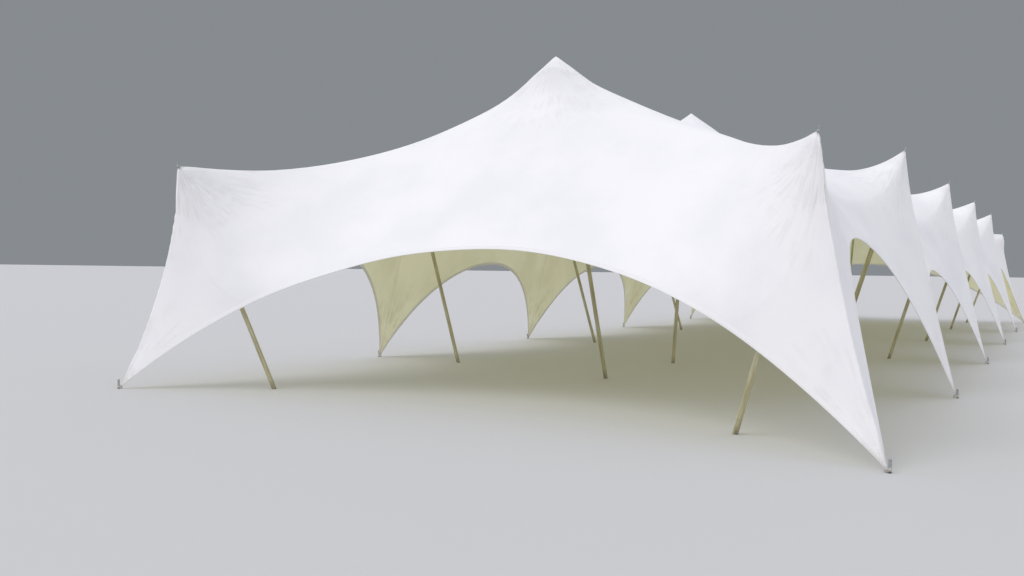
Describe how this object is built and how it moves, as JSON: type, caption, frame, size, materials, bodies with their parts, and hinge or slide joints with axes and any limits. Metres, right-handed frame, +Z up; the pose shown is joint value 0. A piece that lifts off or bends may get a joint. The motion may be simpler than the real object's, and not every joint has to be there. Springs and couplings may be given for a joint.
{
  "type": "stretch tent",
  "caption": "Long white stretch tent with high centre peaks, arched open sides and leaning timber poles.",
  "frame": {"origin": "centre of the footprint at floor level", "axes": "+Y along the long side away from the front arch, +X to the right seen from the front, +Z up"},
  "size_m": [9.7128, 28.242, 4.543],
  "materials": {
    "canvas": "matt white outside, warm beige inside",
    "timber": "smooth round poles, satin",
    "steel": "plain zinc grey"
  },
  "bodies": {
    "root": {"canopy_bay_1": "canvas", "canopy_bay_2": "canvas", "canopy_bay_3": "canvas", "canopy_bay_4": "canvas", "canopy_bay_5": "canvas", "centre_pole_1": "timber", "centre_pole_2": "timber", "centre_pole_3": "timber", "centre_pole_4": "timber", "centre_pole_5": "timber", "right_pole_1": "timber", "right_stake_1": "steel", "right_pole_2": "timber", "right_stake_2": "steel", "right_pole_3": "timber", "right_stake_3": "steel", "right_pole_4": "timber", "right_stake_4": "steel", "right_pole_5": "timber", "right_stake_5": "steel", "right_pole_6": "timber", "right_stake_6": "steel", "left_pole_1": "timber", "left_stake_1": "steel", "left_pole_2": "timber", "left_stake_2": "steel", "left_pole_3": "timber", "left_stake_3": "steel", "left_pole_4": "timber", "left_stake_4": "steel", "left_pole_5": "timber", "left_stake_5": "steel", "left_pole_6": "timber", "left_stake_6": "steel"}
  },
  "joints": []
}
